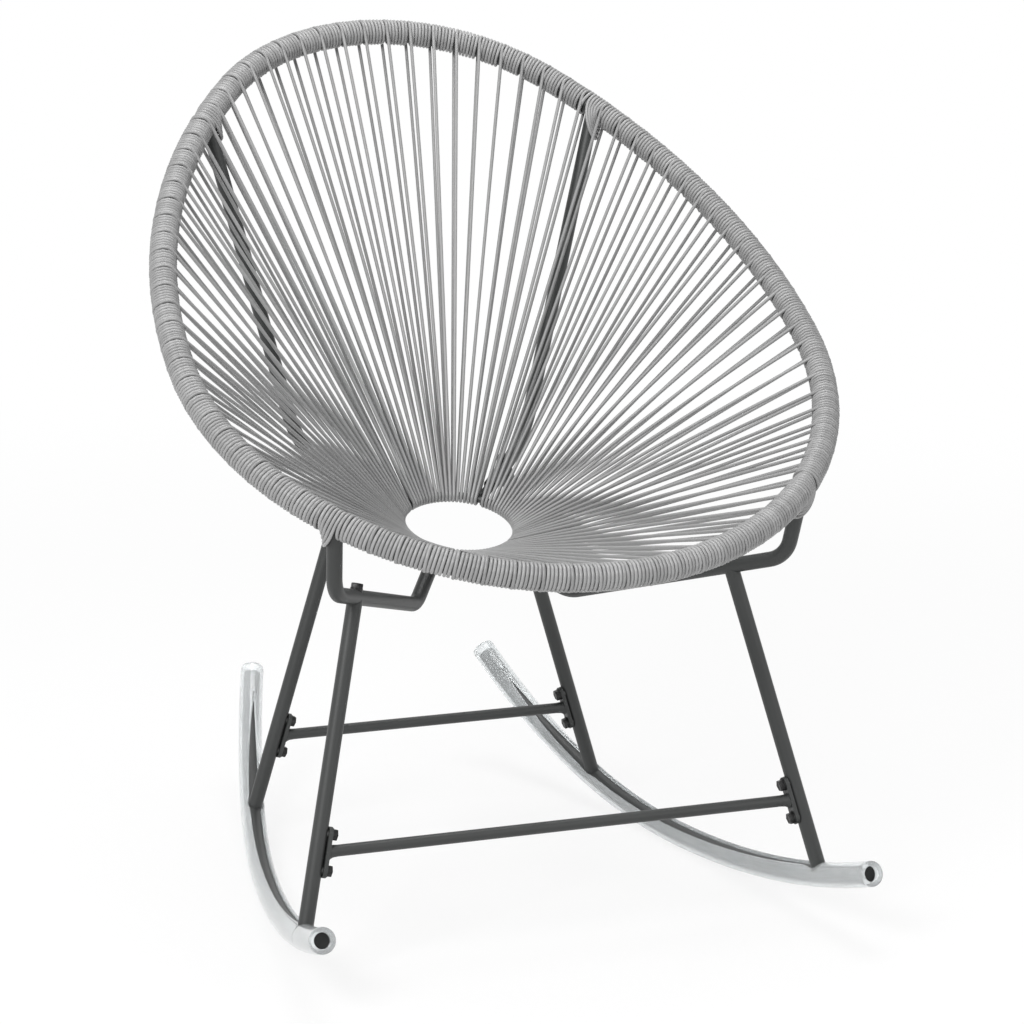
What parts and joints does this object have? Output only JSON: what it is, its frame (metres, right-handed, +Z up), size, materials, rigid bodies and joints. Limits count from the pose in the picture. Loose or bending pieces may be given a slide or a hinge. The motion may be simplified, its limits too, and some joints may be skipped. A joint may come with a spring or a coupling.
{
  "type": "rocking chair",
  "caption": "Rocking moon chair: egg-shaped wound rim strung with grey cords round a small ring, on a bent dark tube frame with curved runners in clear hose",
  "frame": {"origin": "on the floor under the middle of the chair's box, at rest on its runners", "axes": "+Z up, +X to the right in a view from the front, +Y to the back; a sitter faces -Y"},
  "size_m": [0.7248, 0.77, 0.9],
  "materials": {
    "frame_paint": "fine satin powder coat, dark anthracite",
    "cord": "satin grey round plastic cord",
    "clear_hose": "clear milky soft hose",
    "black_plastic": "moulded black",
    "black_hardware": "black plated steel",
    "zinc_insert": "zinc plated"
  },
  "bodies": {
    "root": {"rim_tube": "frame_paint", "center_ring": "frame_paint", "front_support_left": "frame_paint", "front_support_right": "frame_paint", "back_stay_left": "frame_paint", "back_stay_right": "frame_paint", "front_leg_left": "frame_paint", "front_leg_right": "frame_paint", "rear_leg_left": "frame_paint", "rear_leg_right": "frame_paint", "rocker_left": "frame_paint", "rocker_right": "frame_paint", "front_stretcher": "frame_paint", "rear_stretcher": "frame_paint", "front_stretcher_plates": "frame_paint", "rear_stretcher_plates": "frame_paint", "rim_wrap": "cord", "seat_cords_front": "cord", "seat_cords_right": "cord", "seat_cords_left": "cord", "seat_cords_back": "cord", "rocker_sleeve_left": "clear_hose", "rocker_sleeve_right": "clear_hose", "rocker_end_plugs": "black_plastic", "stretcher_bolts": "black_hardware", "stretcher_washers": "black_hardware", "leg_top_bolts": "black_hardware", "leg_top_saddles": "black_hardware", "leg_side_inserts": "zinc_insert", "leg_top_inserts": "zinc_insert"}
  },
  "joints": []
}
